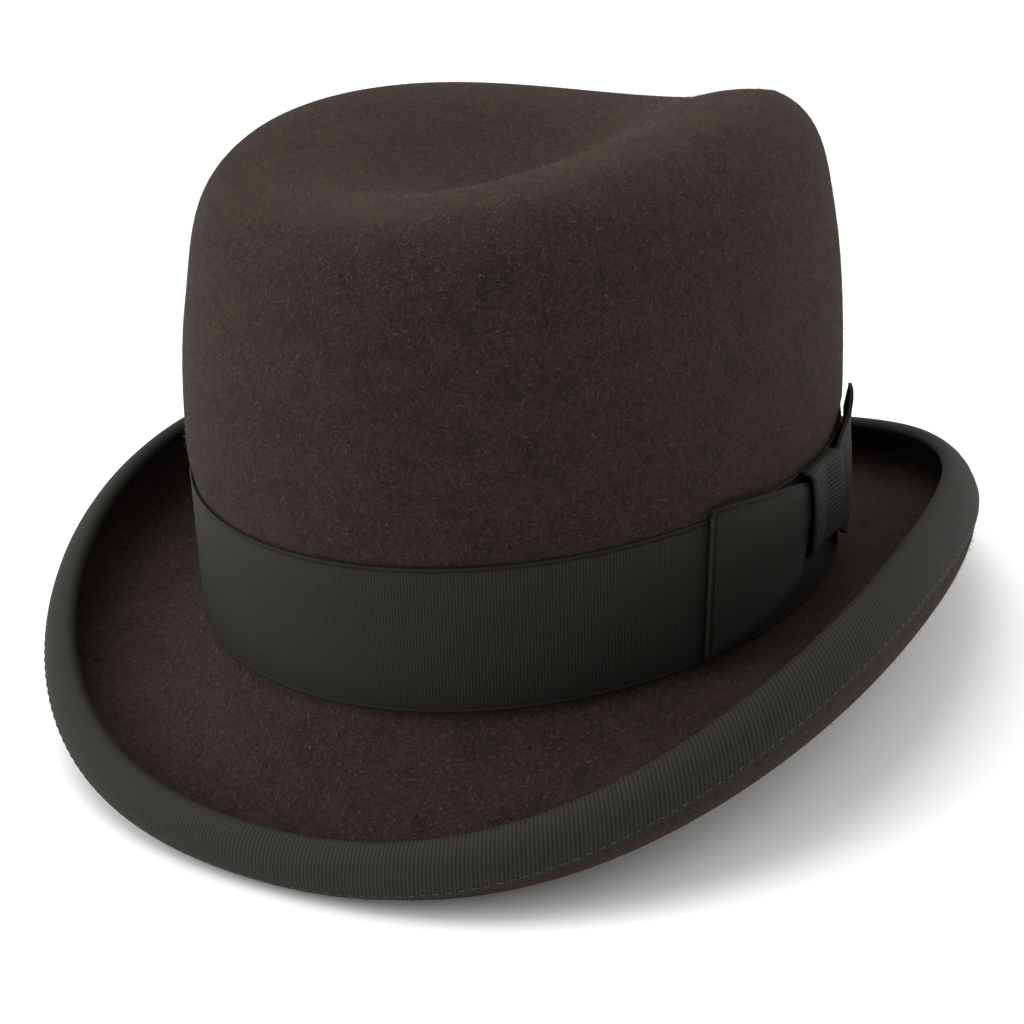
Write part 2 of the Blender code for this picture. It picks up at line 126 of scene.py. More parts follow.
def brim_sections(angles):
    """For each section: head line point, way out, corner, corner room, slope, roll middle, radius."""
    base = plan_oval(HEAD_LENGTH, HEAD_WIDTH, angles)
    rim = plan_oval(EDGE_LENGTH, EDGE_WIDTH, angles, EDGE_POWER) + np.array([0.0, EDGE_SHIFT])
    flare = EDGE_FLARE * np.exp(-((angles - FLARE_AT) / 0.45) ** 2)
    rim *= (1.0 - EDGE_THIRD * np.cos(3.0 * angles) - EDGE_FOURTH * np.cos(4.0 * angles) + flare)[:, None]
    rim_height = (8.5 - 11.7 * np.cos(angles) - 18.4 * np.cos(2.0 * angles)
                  + 0.5 * np.cos(4.0 * angles) + 1.1 * np.cos(5.0 * angles))
    roll = CURL_MEAN - 1.0 * np.cos(angles) - 3.0 * np.cos(2.0 * angles)
    span = np.linalg.norm(rim - base, axis=1)
    middle_out = span - roll * math.sin(CURL_END)
    middle_up = rim_height + roll * math.cos(CURL_END)
    upper = roll - BINDING - BINDING_GAP - FELT
    corner = seat_height(angles) - BREAK_RADIUS
    for _ in range(4):
        toward = np.arctan2(middle_up - corner, middle_out)
        slope = toward - np.arcsin(upper / np.hypot(middle_out, middle_up - corner))
        back = BREAK_RADIUS * np.tan((math.pi / 2.0 + slope) / 2.0)
        corner = seat_height(angles) - back - GAP
    return {"base": base, "way": (rim - base) / span[:, None], "corner": corner, "back": back,
            "slope": slope, "out": middle_out, "up": middle_up, "upper": upper}


def section_ring(brim, out, up):
    out = np.broadcast_to(out, len(brim["corner"]))
    return np.column_stack([brim["base"] + brim["way"] * out[:, None],
                            np.broadcast_to(up, len(out))])


def roll_ring(brim, radius, angle):
    """A ring of the rolled edge: distance from the roll's middle, and angle up from its lowest."""
    return section_ring(brim, brim["out"] + radius * np.sin(angle),
                        brim["up"] - radius * np.cos(angle))


def standing_matrix():
    """The hat leans back until the front and the rear of its brim both touch the ground."""
    brim = brim_sections(turns(60))
    outside = brim["upper"] + FELT
    rolls = np.concatenate([roll_ring(brim, outside, a) for a in np.radians(range(-50, 60, 5))])
    bound = roll_ring(brim, outside + BINDING_GAP + BINDING, math.pi / 2.0)
    lean = 0.0
    for _ in range(6):
        tipped = rolls @ np.array(Matrix.Rotation(lean, 3, "X")).T
        front, rear = tipped[tipped[:, 1] < 0.0], tipped[tipped[:, 1] > 0.0]
        low_front, low_rear = front[front[:, 2].argmin()], rear[rear[:, 2].argmin()]
        lean += math.atan2(low_front[2] - low_rear[2], low_rear[1] - low_front[1])
    turn = np.array(Matrix.Rotation(lean, 3, "X"))
    tipped, wide = rolls @ turn.T, bound @ turn.T
    middle = (wide[:, 1].min() + wide[:, 1].max()) / 2.0
    rise = -(tipped[:, 2].min() + PAD_DEPTH)
    return Matrix.Translation(Vector((0.0, -middle, rise)) * MM) @ Matrix.Rotation(lean, 4, "X")


STAND = standing_matrix()


def grid_ways(grid, around=True):
    """Unit normals of a grid of points: rows run out and down the hat, columns round it."""
    down = np.gradient(grid, axis=0)
    if around:
        along = np.roll(grid, -1, axis=1) - np.roll(grid, 1, axis=1)
    else:
        along = np.gradient(grid, axis=1)
    ways = np.cross(down, along)
    return ways / np.maximum(np.linalg.norm(ways, axis=2), 1e-9)[:, :, None]


def stood(points):
    """Points in the hat's own millimetres, taken in metres to where the hat stands."""
    return (points * MM @ np.array(STAND)[:3, :3].T + np.array(STAND)[:3, 3]).tolist()


def grid_object(name, grid, around=True, creased=False, lengths=None):
    """A sheet through a grid of points in the hat's own millimetres, placed where the hat stands.
    around joins the last column to the first. creased folds the first row shut on itself.
    lengths gives each point's (along, across) on flat cloth, kept as a UV map in millimetres."""
    rows, columns = grid.shape[:2]
    index = np.arange(rows * columns).reshape(rows, columns)
    if creased:
        index[0, columns // 2 + 1:] = index[0, 1:columns // 2][::-1]
    steps = columns if around else columns - 1
    following = (np.arange(steps) + 1) % columns
    a, b = index[:-1, :steps], index[1:, :steps]
    c, d = index[1:][:, following], index[:-1][:, following]
    faces = np.stack([a, b, c, d], axis=-1).reshape(-1, 4)
    mesh = bpy.data.meshes.new(name)
    mesh.from_pydata(stood(grid.reshape(-1, 3)), [], faces.tolist())
    if lengths is not None:
        flat = lengths.reshape(rows, columns, 2)
        wide = flat[:, following].copy()
        if around:
            wide[:, -1, 0] = flat[:, -1, 0] * 2.0 - flat[:, -2, 0]
        corners = np.stack([flat[:-1, :steps], flat[1:, :steps], wide[1:], wide[:-1]], axis=-2)
        layer = mesh.uv_layers.new(name="Cloth")
        layer.uv.foreach_set("vector", corners.reshape(-1).astype(np.float32))
    made = bpy.data.objects.new(name, mesh)
    bpy.context.scene.collection.objects.link(made)
    if creased:
        edit = bmesh.new()
        edit.from_mesh(mesh)
        edit.verts.ensure_lookup_table()
        loose = [edit.verts[v] for v in range(columns // 2 + 1, columns)]
        bmesh.ops.delete(edit, geom=loose, context="VERTS")
        edit.to_mesh(mesh)
        edit.free()
    return made


def baked(made):
    """Turns an object's live modifiers into plain mesh."""
    bpy.context.view_layer.update()
    seen = made.evaluated_get(bpy.context.evaluated_depsgraph_get())
    mesh = bpy.data.meshes.new_from_object(seen)
    made.modifiers.clear()
    made.data = mesh
    for face in mesh.polygons:
        face.use_smooth = True
    return made


def thickened(made, thickness, side=-1.0):
    """Gives a sheet its thickness, on its inner side unless told otherwise."""
    solid = made.modifiers.new("thickness", "SOLIDIFY")
    solid.thickness = thickness * MM
    solid.offset = side
    solid.use_even_offset = False
    return baked(made)


def on_ground(made):
    """Presses what would sink into the ground flat on to it."""
    for vertex in made.data.vertices:
        vertex.co.z = max(vertex.co.z, 0.0)
    return made


def linear(code):
    """An sRGB hex colour as the linear values a shader takes."""
    parts = [int(code[i:i + 2], 16) / 255.0 for i in (0, 2, 4)]
    return tuple(p / 12.92 if p <= 0.04045 else ((p + 0.055) / 1.055) ** 2.4 for p in parts) + (1.0,)


def add(tree, kind, inputs=None, **settings):
    """Adds a node with its settings. An input is a value, or a socket to link from."""
    node = tree.nodes.new(kind)
    for name, value in settings.items():
        setattr(node, name, value)
    for name, value in (inputs or {}).items():
        if isinstance(value, bpy.types.NodeSocket):
            tree.links.new(value, node.inputs[name])
        else:
            node.inputs[name].default_value = value
    return node


def new_material(name):
    made = bpy.data.materials.new(name)
    made.use_nodes = True
    return made, made.node_tree, made.node_tree.nodes["Principled BSDF"]


def two_tone(tree, shader, pattern, dark, light, relief=None, strength=0.0, depth=0.0, under=None):
    """Colours a surface between two hex colours by a pattern. relief raises it, at a strength and a
    depth in metres, over the normal of a broader relief where one is given."""
    colour = add(tree, "ShaderNodeMix", {0: pattern, 6: linear(dark), 7: linear(light)},
                 data_type="RGBA")
    tree.links.new(colour.outputs[2], shader.inputs["Base Color"])
    if relief is not None:
        bump = add(tree, "ShaderNodeBump", {"Height": relief, "Strength": strength, "Distance": depth})
        if under is not None:
            tree.links.new(under, bump.inputs["Normal"])
        tree.links.new(bump.outputs[0], shader.inputs["Normal"])


def dress(made, surface, slot, *nodes):
    """Finishes a piece: its material, the body it rides on and the CAD nodes it stands for."""
    made.data.materials.clear()
    made.data.materials.append(surface)
    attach(made, "root")
    if nodes:
        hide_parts(*nodes)
    return made


# Brushed wool felt: matt, mottled by lighter and darker wool in clouds 9 mm across, with a fibrous
# relief of tufts 2 mm across and strands 0.7 mm across, and a pale sheen where it is seen edge on.
brushed_wool_felt, tree, shader = new_material("brushed_wool_felt")
place = add(tree, "ShaderNodeTexCoord").outputs["Object"]
clouds = add(tree, "ShaderNodeTexNoise", {"Vector": place, "Scale": 110.0, "Detail": 3.0})
wool = add(tree, "ShaderNodeTexNoise", {"Vector": place, "Scale": 520.0, "Detail": 5.0,
                                        "Roughness": 0.72, "Distortion": 1.5})
strands = add(tree, "ShaderNodeTexNoise", {"Vector": place, "Scale": 1500.0, "Detail": 3.0,
                                           "Roughness": 0.7, "Distortion": 2.5})
mottle = add(tree, "ShaderNodeMath", {0: clouds.outputs["Fac"], 1: 0.3, 2: wool.outputs["Fac"]},
             operation="MULTIPLY_ADD")
mottle = add(tree, "ShaderNodeMath", {0: mottle.outputs[0], 1: strands.outputs["Fac"]})
mottle = add(tree, "ShaderNodeMapRange", {0: mottle.outputs[0], 1: 0.85, 2: 1.45})
relief = add(tree, "ShaderNodeMath", {0: wool.outputs["Fac"], 1: strands.outputs["Fac"]})
two_tone(tree, shader, mottle.outputs[0], "0d0a08", "392d28", relief.outputs[0], 0.8, 0.0006)
shader.inputs["Roughness"].default_value = 0.95
shader.inputs["Specular IOR Level"].default_value = 0.15
shader.inputs["Sheen Weight"].default_value = 0.1
shader.inputs["Sheen Roughness"].default_value = 0.45
shader.inputs["Sheen Tint"].default_value = linear("b49a88")

AROUND = 300
DENT_ROWS, SHOULDER_ROWS, WALL_ROWS, FLAT_ROWS, ROLL_ROWS = 22, 20, 16, 8, 22
angles = turns(AROUND)
brim = brim_sections(angles)
wall_low = brim["corner"] + brim["back"]
wall_top = ridge_height(angles) - SHOULDER_RISE
felt_rings = [dent_ring(q, angles) for q in np.linspace(1.0, 0.0, DENT_ROWS)[:-1]]
felt_rings += [shoulder_ring(t, angles) for t in np.linspace(1.0, 0.0, SHOULDER_ROWS)[:-1]]
felt_rings += [wall_ring(wall_low + (wall_top - wall_low) * t, 0.0, angles)
               for t in np.linspace(1.0, 0.0, WALL_ROWS)[:-1]]
break_turn = math.pi / 2.0 + brim["slope"]


def break_ring(t):
    """A ring of the bend where the wall turns out into the brim: 0 at the wall, 1 at the brim."""
    return section_ring(brim, BREAK_RADIUS * (1.0 - np.cos(break_turn * t)),
                        wall_low - BREAK_RADIUS * np.sin(break_turn * t))


felt_rings += [break_ring(t) for t in np.linspace(0.0, 1.0, 7)]
flat_start, flat_end = felt_rings[-1], roll_ring(brim, brim["upper"], brim["slope"])
flat_rings = [flat_start + (flat_end - flat_start) * t for t in np.linspace(0.0, 1.0, FLAT_ROWS)[1:-1]]
felt_rings += flat_rings
felt_rings += [roll_ring(brim, brim["upper"], brim["slope"] + (CURL_END - brim["slope"]) * t)
               for t in np.linspace(0.0, 1.0, ROLL_ROWS)]
felt_grid = np.array(felt_rings)

# The felt can't hold a sharp fold, so the dent is eased until its bottom and ends are round.
SOFT_ROWS, SOFT_FADE, SOFTENING = 26, 8.0, 160
hold = np.clip((SOFT_ROWS - np.arange(SOFT_ROWS)) / SOFT_FADE, 0.0, 1.0)[:, None, None]
for _ in range(SOFTENING):
    opposite = np.roll(felt_grid[1, ::-1], 1, axis=0)
    inner = np.concatenate([opposite[None], felt_grid[:SOFT_ROWS - 1]])
    outer = felt_grid[1:SOFT_ROWS + 1]
    beside = np.roll(felt_grid[:SOFT_ROWS], 1, axis=1) + np.roll(felt_grid[:SOFT_ROWS], -1, axis=1)
    eased = (inner + outer + beside) / 4.0
    eased[0] = (eased[0] + np.roll(eased[0, ::-1], 1, axis=0)) / 2.0
    felt_grid[:SOFT_ROWS] += (eased - felt_grid[:SOFT_ROWS]) * 0.5 * hold
felt_body = on_ground(thickened(grid_object("felt_hood", felt_grid, creased=True), FELT))
dress(felt_body, brushed_wool_felt, "felt", "felt_body")

# The nap: loose wool fibres from half a millimetre to two long, which lie over the face of the felt and
# stand a little off it, with none under the band and the binding.
NAP_LENGTH, NAP_WIDTH, NAP_BEND = 1.5, 0.05, 0.25
CROWN_FIBRES, BRIM_FIBRES, UNDERSIDE_FIBRES = 42000, 24000, 22000
NAP_INSIDE_END, NAP_OUTSIDE_END = 10.5, 14.0   # bare felt along the edge, under the binding

# Loose wool fibre: the felt's own brown, lighter than its face because light comes through it.
loose_wool, tree, shader = new_material("loose_wool_fibre")
place = add(tree, "ShaderNodeTexCoord").outputs["Object"]
flecks = add(tree, "ShaderNodeTexNoise", {"Vector": place, "Scale": 700.0, "Detail": 1.0})
sorted_wool = add(tree, "ShaderNodeMapRange", {0: flecks.outputs["Fac"], 1: 0.35, 2: 0.65})
two_tone(tree, shader, sorted_wool.outputs[0], "2a201d", "6a5348")
shader.inputs["Roughness"].default_value = 0.8


def nap_tree():
    """Bent fibres scattered over a surface: density, length, width, bend and seed are inputs."""
    tree = bpy.data.node_groups.new("wool_nap", "GeometryNodeTree")
    tree.interface.new_socket("Geometry", in_out="INPUT", socket_type="NodeSocketGeometry")
    for name in ("Density", "Length", "Width", "Bend"):
        tree.interface.new_socket(name, in_out="INPUT", socket_type="NodeSocketFloat")
    tree.interface.new_socket("Seed", in_out="INPUT", socket_type="NodeSocketInt")
    tree.interface.new_socket("Geometry", in_out="OUTPUT", socket_type="NodeSocketGeometry")
    given = add(tree, "NodeGroupInput").outputs
    roots = add(tree, "GeometryNodeDistributePointsOnFaces",
                {"Mesh": given["Geometry"], "Density": given["Density"], "Seed": given["Seed"]})
    strip = add(tree, "GeometryNodeMeshGrid", {"Size X": given["Length"], "Size Y": given["Width"],
                                               "Vertices X": 3, "Vertices Y": 2})
    along = add(tree, "ShaderNodeSeparateXYZ", {0: add(tree, "GeometryNodeInputPosition").outputs[0]})
    share = add(tree, "ShaderNodeMath", {0: along.outputs["X"], 1: given["Length"]}, operation="DIVIDE")
    square = add(tree, "ShaderNodeMath", {0: share.outputs[0], 1: share.outputs[0]},
                 operation="MULTIPLY")
    drop = add(tree, "ShaderNodeMath", {0: square.outputs[0], 1: given["Bend"]}, operation="MULTIPLY")
    half = add(tree, "ShaderNodeMath", {0: given["Length"], 1: 0.5}, operation="MULTIPLY")
    down = add(tree, "ShaderNodeMath", {0: drop.outputs[0], 1: -4.0}, operation="MULTIPLY")
    shift = add(tree, "ShaderNodeCombineXYZ", {"X": half.outputs[0], "Z": down.outputs[0]})
    bent = add(tree, "GeometryNodeSetPosition", {"Geometry": strip.outputs[0],
                                                 "Offset": shift.outputs[0]})
    tilt = add(tree, "FunctionNodeRandomValue", {"Min": (0.0, -0.75, 0.0), "Max": (0.0, -0.1, 6.283),
                                                 "Seed": given["Seed"]}, data_type="FLOAT_VECTOR")
    lay = add(tree, "FunctionNodeEulerToRotation", {0: tilt.outputs[0]})
    stand = add(tree, "FunctionNodeRotateRotation", {0: roots.outputs["Rotation"], 1: lay.outputs[0]},
                rotation_space="LOCAL")
    size = add(tree, "FunctionNodeRandomValue", {2: 0.4, 3: 1.35, "Seed": 7}, data_type="FLOAT")
    placed = add(tree, "GeometryNodeInstanceOnPoints",
                 {"Points": roots.outputs["Points"], "Instance": bent.outputs[0],
                  "Rotation": stand.outputs[0], "Scale": size.outputs[1]})
    real = add(tree, "GeometryNodeRealizeInstances", {"Geometry": placed.outputs[0]})
    dyed = add(tree, "GeometryNodeSetMaterial", {"Geometry": real.outputs[0], "Material": loose_wool})
    add(tree, "NodeGroupOutput", {"Geometry": dyed.outputs[0]})
    return tree


NAP = nap_tree()


def grow(made, tree, sizes):
    """Runs a Geometry Nodes tree on an object with its sizes, and leaves plain mesh."""
    work = made.modifiers.new(tree.name, "NODES")
    work.node_group = tree
    for item in tree.interface.items_tree:
        if item.name in sizes:
            work[item.identifier] = sizes[item.name]
    return baked(made)


def nap(name, grid, count, seed, creased=False):
    """Fibres over a grid of points, as many as asked for."""
    made = grid_object(name, grid, creased=creased)
    area = sum(face.area for face in made.data.polygons)
    grow(made, NAP, {"Density": count / area, "Length": NAP_LENGTH * MM, "Width": NAP_WIDTH * MM,
                     "Bend": NAP_BEND * MM, "Seed": seed})
    return dress(on_ground(made), loose_wool, "felt", "felt_body")


band_top = BAND_WIDTH + 1.0 + seat_height(angles)
top_rows = DENT_ROWS + SHOULDER_ROWS - 1   # the dent, the shoulder and the first row of the wall
crown_face = list(felt_grid[:top_rows]) + [wall_ring(band_top + (wall_top - band_top) * t, 0.0, angles)
                                           for t in np.linspace(0.95, 0.0, 10)]
nap("crown_nap", np.array(crown_face), CROWN_FIBRES, 3, creased=True)
curl_start = brim["slope"]
binding_start = CURL_END - NAP_INSIDE_END / brim["upper"]
brim_face = [break_ring(t) for t in (0.5, 0.75, 1.0)] + flat_rings
brim_face += [roll_ring(brim, brim["upper"], curl_start + (binding_start - curl_start) * t)
              for t in np.linspace(0.0, 1.0, 8)]
nap("brim_nap", np.array(brim_face), BRIM_FIBRES, 5)
outer_start = CURL_END - NAP_OUTSIDE_END / (brim["upper"] + FELT)
under_face = [roll_ring(brim, brim["upper"] + FELT, curl_start + (outer_start - curl_start) * t)
              for t in np.linspace(1.0, 0.0, 10)]
under_flat = np.array([flat_start + (flat_end - flat_start) * t
                       for t in np.linspace(1.0, 0.0, FLAT_ROWS)])
under_face += list((under_flat - grid_ways(under_flat[::-1])[::-1] * FELT)[1:])
nap("underside_nap", np.array(under_face), UNDERSIDE_FIBRES, 9)

# ---------------------------------------------------------------------------------------------
# The brim binding: grosgrain ribbon folded over the cut edge of the brim. Its ribs are cords laid
# across the ribbon, so they run over the edge from one face to the other.
# ---------------------------------------------------------------------------------------------
BINDING_OUTSIDE, BINDING_INSIDE = 13.5, 10.0
BINDING_RIB, RIB_HEIGHT = 1.15, 0.1
RIB_SHAPE = np.array([0.0, 0.75, 1.0, 0.75])   # lift at the four columns of one rib

# Grosgrain: a matt cotton and viscose ribbon, its ribs a soft olive grey, with faint streaks 1 mm long
# and 0.1 mm wide where the yarn is uneven. Between the ribs its colour is painted darker, as painted
# shade.
olive_grosgrain, tree, shader = new_material("olive_grosgrain")
cloth = add(tree, "ShaderNodeUVMap", uv_map="Cloth").outputs[0]
yarn = add(tree, "ShaderNodeMapping", {"Vector": cloth, "Scale": (0.4, 3.3, 1.0)})
thread = add(tree, "ShaderNodeTexNoise", {"Vector": yarn.outputs[0], "Scale": 2.2, "Detail": 4.0})
shade = add(tree, "ShaderNodeMapRange", {0: thread.outputs["Fac"], 1: 0.3, 2: 0.7})
ribs = add(tree, "ShaderNodeAttribute", attribute_name="rib")
# Painted shade: the colour follows the rib height, so the foot of each rib is painted dark; the yarn
# streaks show only on the rib tops.
yarn_streaks_and_rib_shade = add(tree, "ShaderNodeMath", {0: shade.outputs[0], 1: ribs.outputs["Fac"]},
           operation="MULTIPLY")
valley_shade = add(tree, "ShaderNodeMath", {0: ribs.outputs["Fac"], 1: 0.6}, operation="MULTIPLY")
lift = add(tree, "ShaderNodeMath", {0: yarn_streaks_and_rib_shade.outputs[0], 1: 0.4, 2: valley_shade.outputs[0]},
           operation="MULTIPLY_ADD")
two_tone(tree, shader, lift.outputs[0], "0b0b08", "282722", thread.outputs["Fac"], 0.35, 0.00015)
shader.inputs["Roughness"].default_value = 0.72
shader.inputs["Specular IOR Level"].default_value = 0.2
shader.inputs["Sheen Weight"].default_value = 0.03
shader.inputs["Sheen Roughness"].default_value = 0.4
shader.inputs["Sheen Tint"].default_value = linear("a8a698")


def mark_rib_shade(made, level):
    """Keeps how high on a rib each point is, for the ribbon's colour: painted shade, darker the lower the
    point lies, so the valleys between the ribs are painted dark.
    """
    mark = made.data.attributes.new("rib", "FLOAT", "POINT")
    mark.data.foreach_set("value", level.reshape(-1).astype(np.float32))


def ribbon_object(name, grid, heights, edges, around, thickness, lengths):
    """A ribbed ribbon: the grid is its outer face between the ribs, heights the ribs' lift at each
    column, and edges how much of it each row has. The same lift paints its colour, darker where lower, as
    painted shade."""
    level = heights[None, :] * edges[:, None]
    raised = grid + grid_ways(grid, around) * level[:, :, None] * RIB_HEIGHT
    made = grid_object(name, raised, around, lengths=lengths)
    mark_rib_shade(made, np.clip(level, 0.0, 1.0))
    return thickened(made, thickness)


def distances(points):
    """Distance along each row of points, from its first."""
    steps = np.linalg.norm(np.diff(points, axis=0), axis=-1)
    return np.concatenate([[0.0], np.cumsum(steps)])


def distance_round(ring):
    """Distance round a closed ring of points."""
    return distances(np.concatenate([ring, ring[:1]]))[-1]


EDGE_MIDDLE = 2.0    # where round the roll, in radians, the binding's length is measured
# The lowered rib height at the sewn edges also paints them darker, as painted shade.
SEWN_EDGE = 0.2      # how much of a rib's height is left where the ribbon's edge is sewn down
edge_length = distance_round(roll_ring(brim, brim["upper"] + FELT, EDGE_MIDDLE))
rib_count = int(edge_length / BINDING_RIB)
binding_angles = turns(rib_count * 4)
bound = brim_sections(binding_angles)
upper, under = bound["upper"], bound["upper"] + FELT
cap_radius = FELT / 2.0 + BINDING_GAP + BINDING
outer_reach, inner_reach = BINDING_OUTSIDE / under, BINDING_INSIDE / upper
outer_radius, inner_radius = under + BINDING_GAP + BINDING, upper - BINDING_GAP - BINDING
binding_rings = [roll_ring(bound, outer_radius, CURL_END - outer_reach * t)
                 for t in (1.0, 0.96, 0.9, 0.75, 0.55, 0.35, 0.15, 0.0)]
for lean in np.radians((36.0, 72.0, 108.0, 144.0)):
    radius = (upper + under) / 2.0 + cap_radius * math.cos(lean)
    past = CURL_END + cap_radius * math.sin(lean) / radius
    binding_rings.append(roll_ring(bound, radius, past))
binding_rings += [roll_ring(bound, inner_radius, CURL_END - inner_reach * t)
                  for t in (0.0, 0.3, 0.65, 1.0)]
binding_grid = np.array(binding_rings)[::-1]
across = distances(binding_grid[:, 0])
along = np.arange(len(binding_angles)) * edge_length / len(binding_angles)
flat = np.stack(np.meshgrid(along, across), axis=-1)
rib_line = np.tile(RIB_SHAPE, rib_count)
# The edge rows' share of rib height also sets their colour: painted shade along the sewn edges.
edge_fade = np.ones(len(across))
edge_fade[[0, -1]] = SEWN_EDGE
binding = ribbon_object("edge_binding", binding_grid, rib_line, edge_fade, True, BINDING, flat)
dress(binding, olive_grosgrain, "ribbon", "brim_binding")

# ---------------------------------------------------------------------------------------------
# The stitching through the binding: a lockstitch of waxed thread all round, near each edge of
# the ribbon, so a row of short stitches shows on the outside and another inside the roll.
# ---------------------------------------------------------------------------------------------
STITCH_PITCH, STITCH_LENGTH, STITCH_THICK = 3.2, 2.3, 0.42
SEAM_IN = 1.3   # from the ribbon's edge to its stitches

# Waxed cotton thread: two plies twisted every 0.3 mm, a little shinier than the ribbon.
waxed_thread, tree, shader = new_material("waxed_cotton_thread")
place = add(tree, "ShaderNodeTexCoord").outputs["Object"]
twist = add(tree, "ShaderNodeTexNoise", {"Vector": place, "Scale": 3000.0, "Detail": 1.0})
two_tone(tree, shader, twist.outputs["Fac"], "12110e", "2b2923", twist.outputs["Fac"], 0.4, 0.0001)
shader.inputs["Roughness"].default_value = 0.55


def stitch_tree(surface):
    """Stitches laid end to end along a line of edges: pitch, length and thickness are inputs."""
    tree = bpy.data.node_groups.new("stitch_row", "GeometryNodeTree")
    tree.interface.new_socket("Geometry", in_out="INPUT", socket_type="NodeSocketGeometry")
    for name in ("Pitch", "Length", "Thickness"):
        tree.interface.new_socket(name, in_out="INPUT", socket_type="NodeSocketFloat")
    tree.interface.new_socket("Geometry", in_out="OUTPUT", socket_type="NodeSocketGeometry")
    given = add(tree, "NodeGroupInput")
    line = add(tree, "GeometryNodeMeshToCurve", {"Mesh": given.outputs["Geometry"]})
    spots = add(tree, "GeometryNodeCurveToPoints",
                {"Curve": line.outputs[0], "Length": given.outputs["Pitch"]}, mode="LENGTH")
    lie = add(tree, "FunctionNodeAlignRotationToVector", {"Vector": spots.outputs["Tangent"]}, axis="X")
    ball = add(tree, "GeometryNodeMeshUVSphere", {"Segments": 6, "Rings": 5, "Radius": 0.5})
    size = add(tree, "ShaderNodeCombineXYZ", {"X": given.outputs["Length"],
                                              "Y": given.outputs["Thickness"],
                                              "Z": given.outputs["Thickness"]})
    shaped = add(tree, "GeometryNodeTransform", {"Geometry": ball.outputs[0], "Scale": size.outputs[0]})
    row = add(tree, "GeometryNodeInstanceOnPoints",
              {"Points": spots.outputs["Points"], "Instance": shaped.outputs[0],
               "Rotation": lie.outputs[0]})
    real = add(tree, "GeometryNodeRealizeInstances", {"Geometry": row.outputs[0]})
    dyed = add(tree, "GeometryNodeSetMaterial", {"Geometry": real.outputs[0], "Material": surface})
    add(tree, "NodeGroupOutput", {"Geometry": dyed.outputs[0]})
    return tree


def stitch_row(name, points, pitch, length, thickness):
    """A row of stitches round a closed line of points in the hat's own millimetres."""
    count = len(points)
    edges = [(i, (i + 1) % count) for i in range(count)]
    mesh = bpy.data.meshes.new(name)
    mesh.from_pydata(stood(points), edges, [])
    made = bpy.data.objects.new(name, mesh)
    bpy.context.scene.collection.objects.link(made)
    return grow(made, STITCHES, {"Pitch": pitch * MM, "Length": length * MM,
                                 "Thickness": thickness * MM})


STITCHES = stitch_tree(waxed_thread)
seam_angles = turns(720)
seam = brim_sections(seam_angles)
outer_seam = CURL_END - (BINDING_OUTSIDE - SEAM_IN) / (seam["upper"] + FELT)
outer_line = roll_ring(seam, seam["upper"] + FELT + BINDING_GAP + BINDING + RIB_HEIGHT, outer_seam)
outer_stitches = stitch_row("outer_stitching", outer_line, STITCH_PITCH, STITCH_LENGTH, STITCH_THICK)
dress(outer_stitches, waxed_thread, "thread", "binding_thread_outer")
inner_seam = CURL_END - (BINDING_INSIDE - SEAM_IN) / seam["upper"]
inner_line = roll_ring(seam, seam["upper"] - BINDING_GAP - BINDING - RIB_HEIGHT, inner_seam)
inner_stitches = stitch_row("inner_stitching", inner_line, STITCH_PITCH, STITCH_LENGTH, STITCH_THICK)
dress(inner_stitches, waxed_thread, "thread", "binding_thread_inner")

# ---------------------------------------------------------------------------------------------
# The hat band: a grosgrain ribbon drawn tight round the foot of the crown, with a corded edge
# top and bottom. Its ribs are finer than the binding's and stand upright.
# ---------------------------------------------------------------------------------------------
BAND_THICK, BAND_GAP, BAND_RIB = 0.6, 0.2, 0.9
BAND_FACE = BAND_GAP + BAND_THICK

band_length = distance_round(wall_ring(0.0 * angles, BAND_FACE, angles))
rib_count = int(band_length / BAND_RIB)
band_angles = turns(rib_count * 4)
band_rows = (40.0, 39.6, 39.2, 38.8, 38.4, 30.0, 20.0, 10.0, 1.6, 1.2, 0.8, 0.4, 0.0)
# Each row's share of rib height also sets its colour, as painted shade: the corded edges are painted
# darker, darkest in the groove inside each cord.
band_edges = np.array([0.3, 0.4, 0.35, 0.1, 1.0, 1.0, 1.0, 1.0, 1.0, 0.1, 0.35, 0.4, 0.3])
bead = {39.6: 0.22, 39.2: 0.16, 38.8: -0.08, 1.2: -0.08, 0.8: 0.16, 0.4: 0.22}
band_grid = np.array([wall_ring(seat_height(band_angles) + row, BAND_FACE + bead.get(row, 0.0),
                                band_angles) for row in band_rows])
along = np.arange(len(band_angles)) * band_length / len(band_angles)
flat = np.stack(np.meshgrid(along, band_rows), axis=-1)
band = ribbon_object("crown_band", band_grid, np.tile(RIB_SHAPE, rib_count), band_edges, True,
                     BAND_THICK, flat)
dress(band, olive_grosgrain, "ribbon", "hat_band")

# ---------------------------------------------------------------------------------------------
# The side bow: one length of the same ribbon folded back on itself at both ends, gathered in at
# its middle and stitched down over the band's join, on the wearer's left.
# ---------------------------------------------------------------------------------------------
BOW_MIDDLE, BOW_FRONT, BOW_REAR = 156.0, 50.0, 46.0
BOW_THICK, BOW_LIFT, RIBBON = 1.5, 3.4, 0.5
KNOT_WIDTH, KNOT_LOW, KNOT_HIGH, KNOT_THICK = 21.0, 17.5, 39.5, 0.7
HALF_KNOT = KNOT_WIDTH / 2.0
KNOT_ROOM = GAP + KNOT_THICK + GAP
KNOT_RIBS, KNOT_RIB_HEIGHT = 18, 0.22
BOW_SLANT, PLEAT = 2.2, 0.35        # lean of the front fold, and depth of the gathered pleats
HOLLOW, HOLLOW_HEIGHT, HOLLOW_FADE = 2.6, 0.35, 6.0    # how far the lower edge stands off the band
PLEATS, PLEAT_REACH = 16.0, 30.0    # radians of pleat over the height, and their reach from the knot
